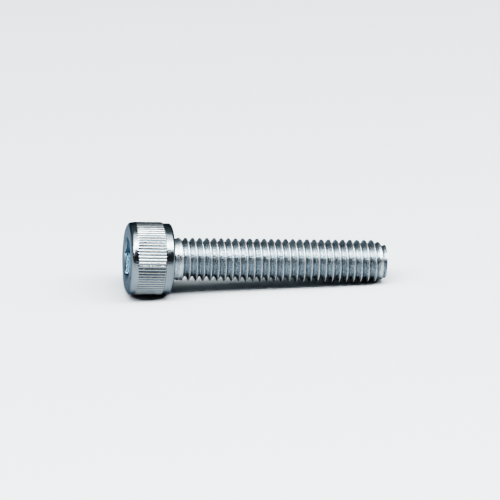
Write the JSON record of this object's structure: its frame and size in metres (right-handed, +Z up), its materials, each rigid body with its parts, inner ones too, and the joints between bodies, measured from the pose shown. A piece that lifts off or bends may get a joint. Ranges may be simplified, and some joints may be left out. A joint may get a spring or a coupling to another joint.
{
  "type": "hex socket cap screw",
  "caption": "Socket head cap screw with a straight-knurled cylindrical head, a blind hexagon socket and a fully threaded shank with a chamfered point.",
  "frame": {"origin": "on the floor that the screw lies on, below the middle of its length; the lowest edges of the knurl and of the last thread crest touch z = 0", "axes": "+X along the floor from the socket face to the point, +Y across the screw, +Z up; the screw's own axis lies in the XZ plane and sinks 4.139 degrees towards the point"},
  "size_m": [0.0364, 0.01, 0.0103],
  "materials": {
    "zinc_plate": "bright zinc plating with a bluish passivate on cold-headed steel"
  },
  "bodies": {
    "root": {"cap_screw": "zinc_plate"}
  },
  "joints": []
}
